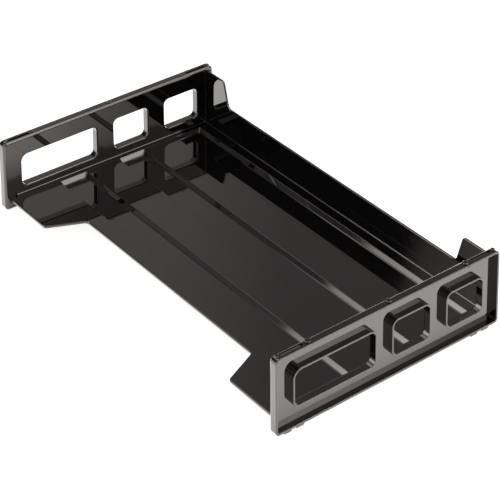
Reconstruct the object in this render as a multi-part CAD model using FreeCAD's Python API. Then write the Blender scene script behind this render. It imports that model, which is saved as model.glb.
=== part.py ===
import FreeCAD, Part
import math
import os

# Side-loading stackable desk tray: a bed (floor and rear wall) held between two
# end panels by rails.  Millimetres.  +X is the long axis, towards the right end
# panel; -Y is the open loading side; +Z is up.  The origin is on the desk, under
# the middle of the tray.
V = FreeCAD.Vector

# ---- overall ----
LENGTH = 412.75             # over both end panels
DEPTH = 241.30              # front to back of an end panel
PANEL_H = 69.85
LUG_H = 1.50                # the tray stands on its lugs

HALF = LENGTH / 2           # outer plane of the right end panel
PANEL_FRONT = -DEPTH / 2
PANEL_REAR = DEPTH / 2
PANEL_BOTTOM = LUG_H
PANEL_TOP = PANEL_BOTTOM + PANEL_H

# ---- end panel ----
PANEL_T = 8.50              # depth of the perimeter rim along X
WEB_T = 2.00                # thin web that closes the inner side
LIP_STEP = 0.50             # step from the inner lip down to the web
LIP_W = 2.70
LIP_R = 1.60                # inside corners of the lip
RIM_T = 2.10
RIM_R = 4.00                # outside corners of the rim
RIM_INNER_R = 2.20          # inside corners of the rim
DRAFT = 1.0                 # mould draft of the rim and the collars, degrees
COLLAR_T = 1.70             # wall of the collars round the windows
PERIMETER_ROLL_R = 2.20     # inner perimeter
OUTER_EDGE_R = 0.70         # outer perimeter
WINDOW_ROLL_R = 1.30        # window edges, inner side
RIM_EDGE_R = 0.45           # inner edge of the rim end, and the collar ends

INNER_X = HALF - PANEL_T    # face of the inner lip
WEB_X = INNER_X + LIP_STEP  # inner face of the web
WEB_OUTER_X = WEB_X + WEB_T

WINDOW_SILL = PANEL_BOTTOM + 19.40
WINDOW_HEAD = PANEL_BOTTOM + 51.20
WINDOW_R = 5.20
# front y, rear y, radius of the front upper corner
WINDOWS = [
    (-101.40, -17.60, 6.80),
    (2.00, 41.60, WINDOW_R),
    (61.60, 101.20, WINDOW_R),
]

# y and z of the centres of the panel's rounded corners
CORNER_CENTRES = [
    (y, z)
    for y in (PANEL_FRONT + RIM_R, PANEL_REAR - RIM_R)
    for z in (PANEL_BOTTOM + RIM_R, PANEL_TOP - RIM_R)
]

# ---- stacking features ----
STACK_X = HALF - 4.55       # line of the studs, sockets and slots
STUD_H = 1.25
STUD_ROOT = 0.5             # length of a stud sunk into the panel
STUD_CROWN = 0.55           # crown radius as a share of the stud height
SOCKET_CLEAR = 0.40         # radial clearance
# y places, stud diameter, stud height, socket clearance, socket depth
STUD_SETS = [
    ((-85.0, 0.0, 85.0), 5.60, STUD_H, SOCKET_CLEAR, STUD_H + 0.15),
    ((-116.2, 116.2), 4.00, STUD_H * 0.9, SOCKET_CLEAR * 0.6, STUD_H + 0.25),
]

SLOT_SPANS = [(-113.2, -90.2), (90.2, 113.2)]
SLOT_W = 2.60
SLOT_D = 1.60
SLOT_R = SLOT_W / 2 - 0.02  # leaves a short straight at each rounded end

LUG_X = HALF - 1.25
LUG_W = 1.90
LUG_R = 0.50                # in plan
LUG_EDGE_R = 0.30           # round the foot
LUG_ROOT = 0.40             # length of a lug sunk into the panel
LUG_SPANS = [(-111.8, -104.4), (-99.4, -91.6), (89.4, 97.2), (102.2, 109.6)]

PIN_D = 1.30                # blind pin marks on the outer side
PIN_DEPTH = 0.90
# x, y and z on the marked surface: the web, then the end of the top rim
PIN_MARKS = [
    (WEB_OUTER_X, -115.6, PANEL_BOTTOM + 65.4),
    (HALF, 84.7, PANEL_TOP - RIM_T / 2),
]

# ---- bed: floor, as modelled before it is tilted ----
CLEAR = 0.06                # gap left for the bonding cement
BED_END_X = WEB_X - CLEAR
FLOOR_T = 2.40
FLOOR_TOP = PANEL_BOTTOM + 9.70
FLOOR_BOTTOM = FLOOR_TOP - FLOOR_T
TILT = 0.611                # the bed falls towards the rear wall, degrees
FLOOR_FRONT = -115.90       # front edge of the two front ears
RECESS_Y = -80.00           # front edge between the ears
EAR_X0 = 122.60             # ear flank, at the recess
EAR_X1 = 138.60             # ear flank, at the front
EAR_R = 4.00                # convex corner
EAR_ROOT_R = 5.00           # concave corner
FLOOR_TOP_EDGE_R = 0.80     # front edge, upper side
FLOOR_LOW_EDGE_R = 0.50     # front edge, underside

# ---- bed: channels ----
CHANNEL_PITCH = 67.1
CHANNEL_FRONTS = [-63.6 + i * CHANNEL_PITCH for i in range(3)]
CHANNEL_W = 30.2
CHANNEL_HALF_L = 193.8
CHANNEL_D = 3.90
CHANNEL_RUN = 2.32          # horizontal run of the sloping walls
CHANNEL_R = 1.60
CHANNEL_MIN_R = 0.60
CHANNEL_WALL = FLOOR_T * 0.55  # widening of the shell round a channel
CHANNEL_LIP_R = 0.60
CHANNEL_FOOT_R = 0.40

# ---- bed: rear wall ----
WALL_Y = 111.50             # inner face
WALL_T = 2.20
WALL_BACK = WALL_Y + WALL_T
WALL_TOP = PANEL_BOTTOM + 40.80
WALL_EAR_TOP = PANEL_BOTTOM + 67.00
WALL_EAR_X0 = 161.80        # where the ear starts to rise
WALL_EAR_X1 = 169.60        # where the ear reaches its full height
WALL_EAR_R = 4.50           # convex corner
WALL_EAR_ROOT_R = 5.00      # concave corner
WALL_INNER_EDGE_R = 0.80    # top edge
WALL_BACK_EDGE_R = 0.60     # top edge
BED_CORNER_R = 1.00         # floor to wall, inside
BED_CORNER_OUTER_R = 4.00   # floor to wall, outside

# ---- rails, as modelled before they are tilted with the bed ----
RAIL_X = WEB_X - 1.90       # free side of the rails
RAIL_LENGTH = WEB_X + 0.4 - RAIL_X  # along X, sunk 0.4 into the web
RAIL_H = 2.20               # upper and rear rails
LOW_RAIL_H = 3.40           # rail under the floor
RAIL_R = 0.75               # rounding of the free edges
RAIL_BEND_R = 1.20          # inside bend of the upper rail
RAIL_TOP = WALL_EAR_TOP - 1.2
UPPER_RAIL_FRONT = FLOOR_FRONT + 7.0
LOW_RAIL_FRONT = FLOOR_FRONT + 0.8
LOW_RAIL_REAR = WALL_Y - 12.0
REAR_RAIL_BOTTOM = FLOOR_TOP + 6.0

OVERCUT = 1.0               # cutters reach this far past the surface they open


# ---- helpers ----
def near(a, b, tolerance=1e-4):
    return abs(a - b) < tolerance


def middle(edge):
    return edge.valueAt(0.5 * (edge.FirstParameter + edge.LastParameter))


def edges_where(shape, test):
    """Edges on which five evenly spaced points all pass the test."""
    found = []
    for edge in shape.Edges:
        first = edge.FirstParameter
        span = edge.LastParameter - first
        if all(test(edge.valueAt(first + span * t)) for t in (0, 0.25, 0.5, 0.75, 1)):
            found.append(edge)
    return found


def round_edges(shape, radius, test):
    edges = edges_where(shape, test)
    if not edges:
        raise RuntimeError("no edges to round")
    return shape.makeFillet(radius, edges)


def one_solid(shape):
    """Merge split faces and insist on a single valid solid."""
    solids = shape.removeSplitter().Solids
    if len(solids) != 1 or not solids[0].isValid():
        raise RuntimeError("expected one valid solid, got %d solids" % len(solids))
    return solids[0]


def arc_inset(radius):
    """Distance from each side of a square corner to the middle of its arc."""
    return radius * (1 - math.sqrt(0.5))


def rounded_rect(place, u0, u1, v0, v1, radius, special_radius=None):
    """Rounded rectangle wire; place(u, v) gives the point in space.
    The corner at u0, v1 may have a radius of its own."""
    r = radius
    s = radius if special_radius is None else special_radius
    k = arc_inset(r)
    ks = arc_inset(s)
    # start, middle and end of each corner arc
    corners = [
        (place(u1 - r, v0), place(u1 - k, v0 + k), place(u1, v0 + r)),
        (place(u1, v1 - r), place(u1 - k, v1 - k), place(u1 - r, v1)),
        (place(u0 + s, v1), place(u0 + ks, v1 - ks), place(u0, v1 - s)),
        (place(u0, v0 + r), place(u0 + k, v0 + k), place(u0 + r, v0)),
    ]
    edges = []
    previous = corners[-1][2]
    for start, mid, end in corners:
        edges.append(Part.makeLine(previous, start))
        edges.append(Part.Arc(start, mid, end).toShape())
        previous = end
    return Part.Wire(edges)


def rect_yz(x, *outline):
    return rounded_rect(lambda y, z: V(x, y, z), *outline)


def rect_xy(z, *outline):
    return rounded_rect(lambda x, y: V(x, y, z), *outline)


def slab_yz(x0, x1, *outline):
    return Part.Face(rect_yz(x0, *outline)).extrude(V(x1 - x0, 0, 0))


def drafted_yz(x0, x1, y0, y1, z0, z1, radius, front_top_radius, slope):
    """Rounded block from x0 to x1 whose sides move outward by slope per mm
    of x; the given outline is the one at the panel's outer plane."""
    wires = []
    for x in (x0, x1):
        grow = (x - HALF) * slope
        wires.append(rect_yz(x, y0 - grow, y1 + grow, z0 - grow, z1 + grow,
                             radius + grow, front_top_radius + grow))
    return Part.makeLoft(wires, True, True)


def tilted(shape):
    """Tilt about the line where the floor meets the rear wall."""
    return shape.rotate(V(0, WALL_Y, FLOOR_TOP), V(1, 0, 0), -TILT)


# ---- end panel ----
def on_outline(p):
    """Is the point on the outside outline of the panel?"""
    return (near(p.y, PANEL_FRONT) or near(p.y, PANEL_REAR)
            or near(p.z, PANEL_BOTTOM) or near(p.z, PANEL_TOP)
            or any(near(math.hypot(p.y - y, p.z - z), RIM_R, 1e-3)
                   for y, z in CORNER_CENTRES))


def in_outer_band(p):
    """Is the point in the band taken up by the outer perimeter rounding?"""
    inset = min(p.y - PANEL_FRONT, PANEL_REAR - p.y, p.z - PANEL_BOTTOM, PANEL_TOP - p.z)
    if inset < OUTER_EDGE_R + 0.05:
        return True
    in_corner = ((p.y < PANEL_FRONT + RIM_R or p.y > PANEL_REAR - RIM_R)
                 and (p.z < PANEL_BOTTOM + RIM_R or p.z > PANEL_TOP - RIM_R))
    return in_corner and any(
        RIM_R - OUTER_EDGE_R - 0.05 < math.hypot(p.y - y, p.z - z) < RIM_R + 0.1
        for y, z in CORNER_CENTRES)


def in_window(p):
    return (WINDOW_SILL - 1e-3 <= p.z <= WINDOW_HEAD + 1e-3
            and any(front - 1e-3 <= p.y <= rear + 1e-3 for front, rear, _ in WINDOWS))


def panel_hollow():
    """Space on the outer side, between the rim and the window collars."""
    slope = math.tan(math.radians(DRAFT))
    hollow = drafted_yz(WEB_OUTER_X, HALF + OVERCUT,
                        PANEL_FRONT + RIM_T, PANEL_REAR - RIM_T,
                        PANEL_BOTTOM + RIM_T, PANEL_TOP - RIM_T,
                        RIM_INNER_R, RIM_INNER_R, slope)
    for front, rear, front_top_radius in WINDOWS:
        collar = drafted_yz(WEB_OUTER_X - OVERCUT, HALF + 2 * OVERCUT,
                            front - COLLAR_T, rear + COLLAR_T,
                            WINDOW_SILL - COLLAR_T, WINDOW_HEAD + COLLAR_T,
                            WINDOW_R + COLLAR_T, front_top_radius + COLLAR_T, -slope)
        hollow = hollow.cut(collar)
    return hollow


def panel_body():
    body = slab_yz(INNER_X, HALF, PANEL_FRONT, PANEL_REAR, PANEL_BOTTOM, PANEL_TOP, RIM_R)
    # shallow step inside the inner lip
    body = body.cut(slab_yz(INNER_X - OVERCUT, WEB_X,
                            PANEL_FRONT + LIP_W, PANEL_REAR - LIP_W,
                            PANEL_BOTTOM + LIP_W, PANEL_TOP - LIP_W, LIP_R))
    body = body.cut(panel_hollow())
    for front, rear, front_top_radius in WINDOWS:
        body = body.cut(slab_yz(INNER_X - OVERCUT, HALF + OVERCUT, front, rear,
                                WINDOW_SILL, WINDOW_HEAD, WINDOW_R, front_top_radius))

    # inner perimeter, then the window edges on the inner side
    body = round_edges(body, PERIMETER_ROLL_R, lambda p: near(p.x, INNER_X) and on_outline(p))
    body = round_edges(body, WINDOW_ROLL_R, lambda p: near(p.x, WEB_X) and in_window(p))

    # outer perimeter, then the other edges in the outer plane
    outer = [e for e in edges_where(body, lambda p: near(p.x, HALF)) if on_outline(middle(e))]
    body = body.makeFillet(OUTER_EDGE_R, outer)
    others = [e for e in edges_where(body, lambda p: near(p.x, HALF))
              if not in_outer_band(middle(e))]
    return body.makeFillet(RIM_EDGE_R, others)


def stud(y, diameter, height):
    """Round stud with a rounded crown, on the top edge."""
    shape = Part.makeCylinder(diameter / 2, height + STUD_ROOT,
                              V(STACK_X, y, PANEL_TOP - STUD_ROOT))
    return round_edges(shape, height * STUD_CROWN, lambda p: near(p.z, PANEL_TOP + height))


def slot(front, rear):
    """Cutter for a slot in the top edge."""
    outline = rect_xy(PANEL_TOP - SLOT_D, STACK_X - SLOT_W / 2, STACK_X + SLOT_W / 2,
                      front, rear, SLOT_R)
    return Part.Face(outline).extrude(V(0, 0, SLOT_D + OVERCUT))


def lug(front, rear):
    """Lug under the bottom edge, standing on the desk."""
    foot = PANEL_BOTTOM - LUG_H
    outline = rect_xy(foot, LUG_X - LUG_W / 2, LUG_X + LUG_W / 2, front, rear, LUG_R)
    shape = Part.Face(outline).extrude(V(0, 0, LUG_H + LUG_ROOT))
    return round_edges(shape, LUG_EDGE_R, lambda p: near(p.z, foot))


def add_stacking_features(body):
    """Studs and slots on top, sockets and lugs below."""
    for places, diameter, height, clearance, socket_depth in STUD_SETS:
        for y in places:
            body = body.fuse(stud(y, diameter, height))
            body = body.cut(Part.makeCylinder(diameter / 2 + clearance, socket_depth,
                                              V(STACK_X, y, PANEL_BOTTOM)))
    for front, rear in SLOT_SPANS:
        body = body.cut(slot(front, rear))
    for front, rear in LUG_SPANS:
        body = body.fuse(lug(front, rear))
    return body


def cut_pin_marks(body):
    for x, y, z in PIN_MARKS:
        body = body.cut(Part.makeCylinder(PIN_D / 2, PIN_DEPTH + OVERCUT,
                                          V(x - PIN_DEPTH, y, z), V(1, 0, 0)))
    return body


# ---- rails ----
def upper_rail():
    """L-shaped strip above the floor and in front of the rear wall."""
    floor_z = FLOOR_TOP + CLEAR
    rail_z = floor_z + RAIL_H
    wall_y = WALL_Y - CLEAR
    rail_y = wall_y - RAIL_H
    corner_k = arc_inset(BED_CORNER_R)
    bend_k = arc_inset(RAIL_BEND_R)

    def at(y, z):
        return V(RAIL_X, y, z)

    floor_front = at(UPPER_RAIL_FRONT, floor_z)
    corner_start = at(wall_y - BED_CORNER_R, floor_z)
    corner_end = at(wall_y, floor_z + BED_CORNER_R)
    top_rear = at(wall_y, RAIL_TOP)
    top_front = at(rail_y, RAIL_TOP)
    bend_start = at(rail_y, rail_z + RAIL_BEND_R)
    bend_end = at(rail_y - RAIL_BEND_R, rail_z)
    rail_front = at(UPPER_RAIL_FRONT, rail_z)
    outline = Part.Wire([
        Part.makeLine(floor_front, corner_start),
        Part.Arc(corner_start, at(wall_y - corner_k, floor_z + corner_k),
                 corner_end).toShape(),
        Part.makeLine(corner_end, top_rear),
        Part.makeLine(top_rear, top_front),
        Part.makeLine(top_front, bend_start),
        Part.Arc(bend_start, at(rail_y - bend_k, rail_z + bend_k), bend_end).toShape(),
        Part.makeLine(bend_end, rail_front),
        Part.makeLine(rail_front, floor_front),
    ])
    rail = Part.Face(outline).extrude(V(RAIL_LENGTH, 0, 0))
    return round_edges(rail, RAIL_R, lambda p: near(p.x, RAIL_X) and p.z > rail_z - 0.01
                       and p.y < rail_y + 0.01 and not near(p.z, RAIL_TOP))


def lower_rail():
    """Straight strip under the floor."""
    bottom = FLOOR_BOTTOM - CLEAR - LOW_RAIL_H
    rail = Part.makeBox(RAIL_LENGTH, LOW_RAIL_REAR - LOW_RAIL_FRONT, LOW_RAIL_H,
                        V(RAIL_X, LOW_RAIL_FRONT, bottom))
    return round_edges(rail, RAIL_R, lambda p: near(p.x, RAIL_X)
                       and (near(p.z, bottom) or near(p.y, LOW_RAIL_FRONT)))


def rear_rail():
    """Upright strip behind the rear wall."""
    front = WALL_BACK + CLEAR
    rail = Part.makeBox(RAIL_LENGTH, RAIL_H, RAIL_TOP - REAR_RAIL_BOTTOM,
                        V(RAIL_X, front, REAR_RAIL_BOTTOM))
    return round_edges(rail, RAIL_R,
                       lambda p: near(p.x, RAIL_X) and near(p.y, front + RAIL_H))


def right_end_panel():
    body = cut_pin_marks(add_stacking_features(panel_body()))
    for rail in (upper_rail(), lower_rail(), rear_rail()):
        body = body.fuse(tilted(rail))
    return one_solid(body)


# ---- bed ----
def floor_plate():
    """Flat floor with two front ears."""
    outline = [
        (-BED_END_X, WALL_BACK), (-BED_END_X, FLOOR_FRONT),
        (-EAR_X1, FLOOR_FRONT), (-EAR_X0, RECESS_Y),
        (EAR_X0, RECESS_Y), (EAR_X1, FLOOR_FRONT),
        (BED_END_X, FLOOR_FRONT), (BED_END_X, WALL_BACK),
        (-BED_END_X, WALL_BACK),
    ]
    polygon = Part.makePolygon([V(x, y, FLOOR_BOTTOM) for x, y in outline])
    plate = Part.Face(polygon).extrude(V(0, 0, FLOOR_T))
    plate = round_edges(plate, EAR_R, lambda p: near(abs(p.x), EAR_X1))
    return round_edges(plate, EAR_ROOT_R,
                       lambda p: near(abs(p.x), EAR_X0) and near(p.y, RECESS_Y))


def rear_wall():
    """Wall with a raised ear at each end."""
    outline = [
        (-BED_END_X, FLOOR_BOTTOM), (BED_END_X, FLOOR_BOTTOM),
        (BED_END_X, WALL_EAR_TOP), (WALL_EAR_X1, WALL_EAR_TOP),
        (WALL_EAR_X0, WALL_TOP), (-WALL_EAR_X0, WALL_TOP),
        (-WALL_EAR_X1, WALL_EAR_TOP), (-BED_END_X, WALL_EAR_TOP),
        (-BED_END_X, FLOOR_BOTTOM),
    ]
    polygon = Part.makePolygon([V(x, WALL_Y, z) for x, z in outline])
    wall = Part.Face(polygon).extrude(V(0, WALL_T, 0))
    wall = round_edges(wall, WALL_EAR_R, lambda p: near(abs(p.x), WALL_EAR_X1))
    return round_edges(wall, WALL_EAR_ROOT_R,
                       lambda p: near(abs(p.x), WALL_EAR_X0) and near(p.z, WALL_TOP))


def channel(front, grow, top):
    """Tapered tub, CHANNEL_D deep, widened by grow on every side."""
    wires = []
    for z, inset, radius in (
            (top, 0, CHANNEL_R + grow),
            (top - CHANNEL_D, CHANNEL_RUN,
             max(CHANNEL_MIN_R, CHANNEL_R + grow - CHANNEL_RUN / 2))):
        widen = grow - inset
        wires.append(rect_xy(z, -CHANNEL_HALF_L - widen, CHANNEL_HALF_L + widen,
                             front - widen, front + CHANNEL_W + widen, radius))
    return Part.makeLoft(wires, True, True)


def add_channels(body):
    """Add the shells under the floor, hollow them, then round their edges."""
    for front in CHANNEL_FRONTS:
        body = body.fuse(channel(front, CHANNEL_WALL, FLOOR_BOTTOM))
    for front in CHANNEL_FRONTS:
        body = body.cut(channel(front, 0.0, FLOOR_TOP))
    for front in CHANNEL_FRONTS:
        rear = front + CHANNEL_W
        for z, radius in ((FLOOR_TOP, CHANNEL_LIP_R),
                          (FLOOR_TOP - CHANNEL_D, CHANNEL_FOOT_R)):
            body = round_edges(body, radius, lambda p: near(p.z, z)
                               and front - 0.01 <= p.y <= rear + 0.01
                               and abs(p.x) <= CHANNEL_HALF_L + 0.01)
    return body


def tray_bed():
    body = floor_plate().fuse(rear_wall()).removeSplitter()
    # floor-to-wall corner, inside and outside
    for y, z, radius in ((WALL_Y, FLOOR_TOP, BED_CORNER_R),
                         (WALL_BACK, FLOOR_BOTTOM, BED_CORNER_OUTER_R)):
        body = round_edges(body, radius, lambda p: near(p.y, y) and near(p.z, z))
    # front edges of the floor
    for z, radius in ((FLOOR_TOP, FLOOR_TOP_EDGE_R), (FLOOR_BOTTOM, FLOOR_LOW_EDGE_R)):
        body = round_edges(body, radius, lambda p: near(p.z, z) and p.y < RECESS_Y + 0.2)
    # top edges of the wall
    for y, radius in ((WALL_Y, WALL_INNER_EDGE_R), (WALL_BACK, WALL_BACK_EDGE_R)):
        body = round_edges(body, radius, lambda p: near(p.y, y) and p.z > WALL_TOP - 0.1)
    return tilted(one_solid(add_channels(body)))


# ---- build and export ----
os.makedirs("parts", exist_ok=True)
right_panel = right_end_panel()
pieces = {
    "tray_bed": tray_bed(),
    "right_end_panel": right_panel,
    "left_end_panel": one_solid(right_panel.mirror(V(0, 0, 0), V(1, 0, 0))),
}
for name, shape in pieces.items():
    shape.exportStep("parts/%s.step" % name)
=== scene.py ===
import bpy
import math
from mathutils import Matrix, Vector

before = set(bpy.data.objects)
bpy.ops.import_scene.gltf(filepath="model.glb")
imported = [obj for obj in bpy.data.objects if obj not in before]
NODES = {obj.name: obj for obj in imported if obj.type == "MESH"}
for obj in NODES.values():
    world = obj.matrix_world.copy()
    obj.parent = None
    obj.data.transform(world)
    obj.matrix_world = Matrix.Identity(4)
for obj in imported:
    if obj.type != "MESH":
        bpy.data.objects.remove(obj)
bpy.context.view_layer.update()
scene = bpy.context.scene


# ---------------------------------------------------------------------------
# node helpers
# ---------------------------------------------------------------------------
class Tree:
    def __init__(self, tree):
        self.t = tree
        self.t.nodes.clear()

    def n(self, kind, **kw):
        node = self.t.nodes.new(kind)
        for k, v in kw.items():
            if k.startswith("i_"):
                node.inputs[k[2:].replace("_", " ")].default_value = v
            else:
                setattr(node, k, v)
        return node

    def link(self, a, b):
        self.t.links.new(a, b)

    def math(self, op, a, b=None, c=None, clamp=False):
        m = self.t.nodes.new("ShaderNodeMath")
        m.operation = op
        m.use_clamp = clamp
        for i, v in enumerate((a, b, c)):
            if v is None:
                continue
            if isinstance(v, (int, float)):
                m.inputs[i].default_value = v
            else:
                self.link(v, m.inputs[i])
        return m.outputs[0]

    def map(self, v, a, b, c, d, smooth=False):
        m = self.t.nodes.new("ShaderNodeMapRange")
        m.interpolation_type = "SMOOTHSTEP" if smooth else "LINEAR"
        m.clamp = True
        self.link(v, m.inputs[0])
        for i, x in zip((1, 2, 3, 4), (a, b, c, d)):
            m.inputs[i].default_value = x
        return m.outputs[0]


# ---------------------------------------------------------------------------
# materials
# ---------------------------------------------------------------------------
def polished_plastic(name, seed, sweep_x=0.0, wave=1.0):
    """Glossy black polystyrene: mould polish with a slow waviness, faint haze
    and rubbed patches, fine straight scratches, dust, and edges that have
    gone slightly dull and grey with handling."""
    mat = bpy.data.materials.new(name)
    mat.use_nodes = True
    t = Tree(mat.node_tree)
    out = t.n("ShaderNodeOutputMaterial")
    p = t.n("ShaderNodeBsdfPrincipled")
    t.link(p.outputs[0], out.inputs[0])
    tc = t.n("ShaderNodeTexCoord")
    obj = tc.outputs["Object"]
    geo = t.n("ShaderNodeNewGeometry")

    def noise(scale, detail=3.0, rough=0.5, w=0.0, stretch=(1, 1, 1), kind="FBM"):
        m = t.n("ShaderNodeMapping")
        t.link(obj, m.inputs[0])
        m.inputs["Scale"].default_value = stretch
        m.inputs["Location"].default_value = (seed * 3.1 + w, seed * 1.7 - w, seed * 0.9)
        n = t.n("ShaderNodeTexNoise", noise_dimensions="3D")
        t.link(m.outputs[0], n.inputs["Vector"])
        n.inputs["Scale"].default_value = scale
        n.inputs["Detail"].default_value = detail
        n.inputs["Roughness"].default_value = rough
        return n.outputs["Fac"]

    # rubbed, hazy patches and the dust that settles on upward faces
    patch = t.map(noise(9.0, 5.0, 0.6), 0.50, 0.72, 0.0, 1.0, True)
    fine = noise(160.0, 4.0, 0.65, 4.0)
    rub = t.math("MULTIPLY", patch, t.map(fine, 0.35, 0.7, 0.3, 1.0))
    sep = t.n("ShaderNodeSeparateXYZ")
    t.link(geo.outputs["Normal"], sep.inputs[0])
    upward = t.map(sep.outputs[2], 0.3, 0.95, 0.0, 1.0, True)
    speck = t.n("ShaderNodeTexVoronoi", feature="F1")
    t.link(obj, speck.inputs["Vector"])
    speck.inputs["Scale"].default_value = 420.0
    size = t.map(noise(60.0, 2.0, 0.5, 9.0), 0.45, 0.75, 0.0, 0.12)
    dust = t.math("MULTIPLY", t.math("LESS_THAN", speck.outputs["Distance"], size), upward)

    # hairline scratches in three directions
    def scratches(angle, scale, cut, w):
        m = t.n("ShaderNodeMapping")
        t.link(obj, m.inputs[0])
        m.inputs["Rotation"].default_value = (0.0, 0.0, angle)
        m.inputs["Location"].default_value = (seed + w, w * 2.0, 0.0)
        m.inputs["Scale"].default_value = (9.0, 900.0, 9.0)
        n = t.n("ShaderNodeTexNoise")
        t.link(m.outputs[0], n.inputs["Vector"])
        n.inputs["Scale"].default_value = scale
        n.inputs["Detail"].default_value = 1.0
        return t.map(n.outputs["Fac"], cut, cut + 0.05, 0.0, 1.0, True)
    scr = t.math("MAXIMUM", scratches(0.35, 1.0, 0.73, 1.0), scratches(-0.9, 1.3, 0.74, 5.0))
    scr = t.math("MAXIMUM", scr, scratches(1.35, 0.8, 0.745, 8.0))
    scr = t.math("MULTIPLY", scr, t.map(noise(14.0, 2.0, 0.5, 3.0), 0.42, 0.62, 0.0, 1.0, True))

    # edge wear from the pointiness of the surface
    edge = t.map(geo.outputs["Pointiness"], 0.53, 0.62, 0.0, 1.0, True)
    edge = t.math("MULTIPLY", edge, t.map(noise(45.0, 4.0, 0.6, 2.0), 0.4, 0.65, 0.0, 1.0))

    rough = t.math("MULTIPLY_ADD", rub, 0.055, 0.018)
    rough = t.math("MULTIPLY_ADD", fine, 0.012, rough)
    rough = t.math("MULTIPLY_ADD", scr, 0.10, rough)
    rough = t.math("MULTIPLY_ADD", edge, 0.12, rough)
    rough = t.math("MULTIPLY_ADD", dust, 0.30, rough)
    t.link(rough, p.inputs["Roughness"])

    # colour: near black with a warm cast, lifted by dust and rubbing
    mixa = t.n("ShaderNodeMix", data_type="RGBA")
    mixa.inputs[6].default_value = (0.0006, 0.0005, 0.00048, 1)
    mixa.inputs[7].default_value = (0.011, 0.0102, 0.0096, 1)
    amount = t.math("MAXIMUM", t.math("MULTIPLY", dust, 0.5), t.math("MULTIPLY", edge, 0.18))
    amount = t.math("MAXIMUM", amount, t.math("MULTIPLY", scr, 0.12))
    amount = t.math("MAXIMUM", amount, t.math("MULTIPLY", rub, 0.02))
    t.link(amount, mixa.inputs[0])
    t.link(mixa.outputs[2], p.inputs["Base Color"])
    p.inputs["IOR"].default_value = 1.55
    p.inputs["Specular Tint"].default_value = (1.0, 0.955, 0.94, 1)

    # surface relief: sink waviness, orange peel, scratches
    wavy = noise(6.0, 2.0, 0.45, 6.0, (1.0, 1.6, 1.6))
    flow = noise(30.0, 2.0, 0.5, 7.0, (0.35, 1.0, 1.0))
    peel = noise(520.0, 2.0, 0.5, 8.0)
    h = t.math("MULTIPLY", wavy, 0.000050 * wave)
    h = t.math("MULTIPLY_ADD", flow, 0.0000050 * wave, h)
    h = t.math("MULTIPLY_ADD", peel, 0.00000020, h)
    h = t.math("MULTIPLY_ADD", scr, -0.0000009, h)
    h = t.math("MULTIPLY_ADD", dust, 0.000004, h)
    bump = t.n("ShaderNodeBump")
    bump.inputs["Strength"].default_value = 1.0
    bump.inputs["Distance"].default_value = 1.0
    t.link(h, bump.inputs["Height"])
    t.link(bump.outputs[0], p.inputs["Normal"])
    return mat


MAT_BED = polished_plastic("polished_black_bed", 1.0)
MAT_RIGHT = polished_plastic("polished_black_right_panel", 2.0, wave=0.8)
MAT_LEFT = polished_plastic("polished_black_left_panel", 3.0, wave=0.8)
for n, m in (("tray_bed", MAT_BED), ("right_end_panel", MAT_RIGHT), ("left_end_panel", MAT_LEFT)):
    o = NODES[n]
    o.data.materials.clear()
    o.data.materials.append(m)

# ---------------------------------------------------------------------------
# stage
# ---------------------------------------------------------------------------
mesh = bpy.data.meshes.new("stage_floor")
S = 30.0
mesh.from_pydata([(-S, -S, 0), (S, -S, 0), (S, S, 0), (-S, S, 0)], [], [(0, 1, 2, 3)])
floor = bpy.data.objects.new("stage_floor", mesh)
floor.location = (0, 0, -0.0002)
scene.collection.objects.link(floor)
fm = bpy.data.materials.new("stage_floor")
fm.use_nodes = True
t = Tree(fm.node_tree)
out = t.n("ShaderNodeOutputMaterial")
e1 = t.n("ShaderNodeEmission")
e1.inputs[0].default_value = (1, 0.996, 0.988, 1)
lp = t.n("ShaderNodeLightPath")
# Painted light on the floor: its glow rises towards +X as a painted light falloff, and ambient occlusion darkens it
# near the tray as a painted contact shadow.
ao = t.n("ShaderNodeAmbientOcclusion", samples=8)
ao.inputs["Distance"].default_value = 0.05
g = t.n("ShaderNodeNewGeometry")
sep = t.n("ShaderNodeSeparateXYZ")
t.link(g.outputs["Position"], sep.inputs[0])
side = t.map(sep.outputs[0], -0.5, 0.6, 3.45, 4.15, True)
shade = t.map(ao.outputs["AO"], 0.0, 1.0, 0.35, 1.0)
# painted contact shadow as the camera sees the floor, much fainter than in reflections
seen = t.map(ao.outputs["AO"], 0.0, 1.0, 0.90, 1.25)
reach = t.n("ShaderNodeVectorMath", operation="LENGTH")
t.link(g.outputs["Position"], reach.inputs[0])
table_end = t.map(reach.outputs["Value"], 0.9, 1.7, 1.0, 0.15, True)
# the table runs on at the left rear
diag = t.math("SUBTRACT", sep.outputs[1], sep.outputs[0])
table_end = t.math("MAXIMUM", table_end, t.map(diag, 1.0, 1.4, 0.0, 0.7, True))
# floor glow in reflections: painted light falloff times painted AO shadow
floor_glow_painted_shadow = t.math("MULTIPLY", t.math("MULTIPLY", side, shade), table_end)
mixv = t.n("ShaderNodeMix", data_type="FLOAT")
t.link(lp.outputs["Is Camera Ray"], mixv.inputs[0])
t.link(floor_glow_painted_shadow, mixv.inputs[2])
t.link(seen, mixv.inputs[3])
t.link(mixv.outputs[0], e1.inputs[1])
# the floor isn't drawn from below, so the underside can be looked at
below = t.n("ShaderNodeBsdfTransparent")
onesided = t.n("ShaderNodeMixShader")
t.link(g.outputs["Backfacing"], onesided.inputs[0])
t.link(e1.outputs[0], onesided.inputs[1])
t.link(below.outputs[0], onesided.inputs[2])
t.link(onesided.outputs[0], out.inputs[0])
floor.data.materials.append(fm)

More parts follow.
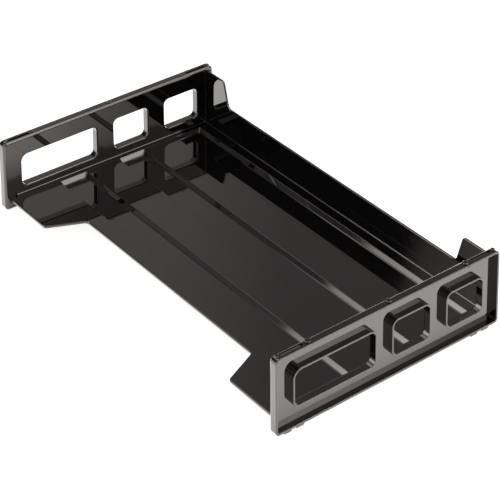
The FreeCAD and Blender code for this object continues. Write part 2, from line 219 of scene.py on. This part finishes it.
# reflector card to the right and behind, brightest along its upper edge
cm = bpy.data.meshes.new("stage_card")
CX, CY0, CY1, CZ0, CZ1 = 1.0, 0.48, 1.00, 0.455, 0.825
cm.from_pydata([(CX, CY0, CZ0), (CX, CY1, CZ0), (CX, CY1, CZ1), (CX, CY0, CZ1)], [], [(0, 1, 2, 3)])
card = bpy.data.objects.new("stage_card", cm)
scene.collection.objects.link(card)
card.visible_camera = False
card.visible_shadow = False
km = bpy.data.materials.new("stage_card")
km.use_nodes = True
t = Tree(km.node_tree)
out = t.n("ShaderNodeOutputMaterial")
em = t.n("ShaderNodeEmission")
em.inputs[0].default_value = (1, 0.98, 0.965, 1)
g = t.n("ShaderNodeNewGeometry")
sep = t.n("ShaderNodeSeparateXYZ")
t.link(g.outputs["Position"], sep.inputs[0])
top_part = t.math("MULTIPLY", t.map(sep.outputs[2], 0.62, 0.68, 0.0, 1.0, True),
                  t.map(sep.outputs[2], 0.78, 0.825, 1.0, 0.45, True))
across = t.n("ShaderNodeValToRGB")
t.link(t.map(sep.outputs[1], 0.5, 1.0, 0.0, 1.0), across.inputs[0])
cr = across.color_ramp
for i, (y, v) in enumerate([(0.50, 27.0), (0.64, 22.0), (0.70, 17.5), (0.75, 13.5), (0.80, 10.5), (0.90, 8.0)]):
    e = cr.elements[i] if i < 2 else cr.elements.new(1.0)
    e.position = (y - 0.5) / 0.5
    e.color = (v / 30.0, v / 30.0, v / 30.0, 1)
bright = t.math("MULTIPLY", across.outputs[0], 30.0)
level = t.math("ADD", t.math("MULTIPLY", top_part, t.math("SUBTRACT", bright, 6.3)), 6.3)
t.link(level, em.inputs[1])
t.link(em.outputs[0], out.inputs[0])
cm.materials.append(km)

# ---------------------------------------------------------------------------
# surroundings: studio lights as soft-edged areas of azimuth and elevation
# (degrees, azimuth 0 = +X and 90 = +Y)
# ---------------------------------------------------------------------------
KEY = [(-180, 8.0), (-128, 8.0), (-120, 9.5), (-114, 8.0), (-104, 1.4), (-90, 0.9), (-10, 0.9), (4, 1.3), (14, 9.0), (30.4, 21.5), (31.3, 16.5),
       (31.8, 14.7), (32.4, 12.8), (33.0, 10.6), (34.3, 8.7), (36.0, 9.5), (39.0, 14.5), (41.0, 13.5), (45.0, 10.5),
       (60, 8.0), (80, 3.0), (95, 0.6), (105, 0.0), (180, 0.0)]
BACK = [(-180, .30), (-150, .30), (-135, .55), (-112, .55), (-100, .30), (0, .30), (30, .45), (100, .40), (139, .36), (140.6, .37), (141.5, .41),
        (142.4, .50), (143.3, .56), (145, .63), (152, .66), (165, .45), (180, .30)]

world = bpy.data.worlds.new("studio")
scene.world = world
world.use_nodes = True
t = Tree(world.node_tree)
out = t.n("ShaderNodeOutputWorld")
bg = t.n("ShaderNodeBackground")
t.link(bg.outputs[0], out.inputs[0])
tc = t.n("ShaderNodeTexCoord")
sep = t.n("ShaderNodeSeparateXYZ")
t.link(tc.outputs["Generated"], sep.inputs[0])
az = t.math("MULTIPLY", t.math("ARCTAN2", sep.outputs[1], sep.outputs[0]), 180.0 / math.pi)
el = t.math("MULTIPLY", t.math("ARCSINE", sep.outputs[2]), 180.0 / math.pi)


def table(rows, top):
    """Piecewise linear function of azimuth."""
    u = t.math("MULTIPLY_ADD", az, 1.0 / 360.0, 0.5)
    ramp = t.n("ShaderNodeValToRGB")
    t.link(u, ramp.inputs[0])
    cr = ramp.color_ramp
    cr.interpolation = "LINEAR"
    while len(cr.elements) > 1:
        cr.elements.remove(cr.elements[-1])
    cr.elements[0].position = 0.0
    for i, (a, v) in enumerate(rows):
        e = cr.elements[0] if i == 0 else cr.elements.new((a + 180.0) / 360.0)
        v = v / top
        e.color = (v, v, v, 1)
    return t.math("MULTIPLY", ramp.outputs[0], top)


def step(v, a, b, amount=1.0):
    return t.map(v, a, b, 0.0, amount, True)


# key light round the right-hand side, with a sharp upright end at the left
edge = t.math("ADD", az, t.math("MULTIPLY", t.math("MAXIMUM", t.math("SUBTRACT", el, 18.0), 0.0), 0.45))
left_end = t.math("ADD", t.math("ADD", step(edge, -130.5, -129.9, 0.42), step(edge, -129.9, -127.2, 0.43)),
                  step(edge, -127.2, -124.5, 0.15))
rear = t.math("ADD", t.math("MULTIPLY", t.map(el, 6.0, 16.0, 0.0, 1.0, True), 0.19), 0.02)
front = t.math("ADD", step(el, 44.0, 60.0, -0.85), 1.0)
which = step(az, 4.0, 14.0)
mix = t.n("ShaderNodeMix", data_type="FLOAT")
t.link(which, mix.inputs[0])
t.link(front, mix.inputs[2])
t.link(rear, mix.inputs[3])
key = t.math("MULTIPLY", t.math("MULTIPLY", table(KEY, 25.0), left_end), mix.outputs[0])
# dim room behind and to the left
room = t.math("MULTIPLY", table(BACK, 1.0), t.map(el, 46.0, 58.0, 1.0, 0.4, True))
darker = t.math("MULTIPLY", t.map(az, -126.0, -122.0, 1.0, 0.0, True), step(el, 9.5, 13.5, -0.62))
room = t.math("MULTIPLY", room, t.math("ADD", darker, 1.0))
# strip light high on the left
turn = t.math("MODULO", t.math("ADD", az, 360.0), 360.0)
strip = t.math("MULTIPLY", t.math("MULTIPLY", step(turn, 148.0, 158.0), t.map(turn, 212.0, 220.0, 1.0, 0.0, True)),
               t.math("MULTIPLY", step(el, 45.5, 48.0, 3.2), t.map(el, 52.0, 55.0, 1.0, 0.0, True)))
ceiling = step(el, 50.0, 62.0, 1.0)
# soft fill at the right front
fill = t.math("MULTIPLY", t.math("MULTIPLY", step(az, -62.0, -50.0, 3.8), t.map(az, -28.0, -16.0, 1.0, 0.0, True)),
              t.math("MULTIPLY", step(el, 5.0, 11.0), t.map(el, 17.0, 23.0, 1.0, 0.2, True)))
# low pale backdrop at the left rear
low = t.math("MULTIPLY", t.math("MULTIPLY", step(turn, 118.0, 126.0), t.map(turn, 178.0, 188.0, 1.0, 0.0, True)),
             t.map(el, 4.5, 8.0, 2.5, 0.0, True))
# overhead light, right rear
over = t.math("MULTIPLY", t.math("MULTIPLY", step(az, 20.0, 40.0), t.map(az, 95.0, 125.0, 1.0, 0.0, True)),
              t.math("MULTIPLY", step(el, 48.0, 56.0, 4.2), t.map(el, 64.0, 72.0, 1.0, 0.0, True)))
total = t.math("ADD", t.math("ADD", key, room), t.math("ADD", t.math("ADD", over, low), t.math("ADD", fill, t.math("ADD", strip, ceiling))))
# seen directly, the surroundings are a plain pale backdrop
lp = t.n("ShaderNodeLightPath")
seen = t.n("ShaderNodeMix", data_type="FLOAT")
t.link(lp.outputs["Is Camera Ray"], seen.inputs[0])
t.link(total, seen.inputs[2])
seen.inputs[3].default_value = 1.05
t.link(seen.outputs[0], bg.inputs[1])
bg.inputs[0].default_value = (1, 0.975, 0.96, 1)

# ---------------------------------------------------------------------------
# camera
# ---------------------------------------------------------------------------
AZ, EL, ROLL = math.radians(52.329), math.radians(16.565), math.radians(-0.351)
back = Vector((math.sin(AZ) * math.cos(EL), -math.cos(AZ) * math.cos(EL), math.sin(EL)))
right = Vector((math.cos(AZ), math.sin(AZ), 0.0))
up = back.cross(right)
r2 = math.cos(ROLL) * right + math.sin(ROLL) * up
u2 = -math.sin(ROLL) * right + math.cos(ROLL) * up
cam_data = bpy.data.cameras.new("camera")
cam = bpy.data.objects.new("camera", cam_data)
scene.collection.objects.link(cam)
cam_data.sensor_width = 36.0
cam_data.lens = 2064.994 / 500.0 * 36.0
cam_data.clip_start, cam_data.clip_end = 0.05, 200.0
CAM_POS = Vector((1.27973, -0.97028, 1.07796))
m = Matrix((r2, u2, back)).transposed().to_4x4()
m.translation = CAM_POS
cam.matrix_world = m
scene.camera = cam
# The lens is shifted at this viewpoint only; seen from anywhere else it is centred.
drv = cam_data.driver_add("shift_y").driver
drv.type = "SCRIPTED"
for nm, axis in (("cx", "LOC_X"), ("cy", "LOC_Y"), ("cz", "LOC_Z")):
    v = drv.variables.new()
    v.name = nm
    v.type = "TRANSFORMS"
    v.targets[0].id = cam
    v.targets[0].transform_type = axis
    v.targets[0].transform_space = "WORLD_SPACE"
drv.expression = "-1.26016 if abs(cx - %.5f) + abs(cy - %.5f) + abs(cz - %.5f) < 0.001 else 0.0" % tuple(CAM_POS)

scene.view_settings.view_transform = "Standard"
scene.view_settings.look = "None"
scene.cycles.use_denoising = True
scene.cycles.max_bounces = 12
scene.cycles.glossy_bounces = 8
scene.cycles.transmission_bounces = 8
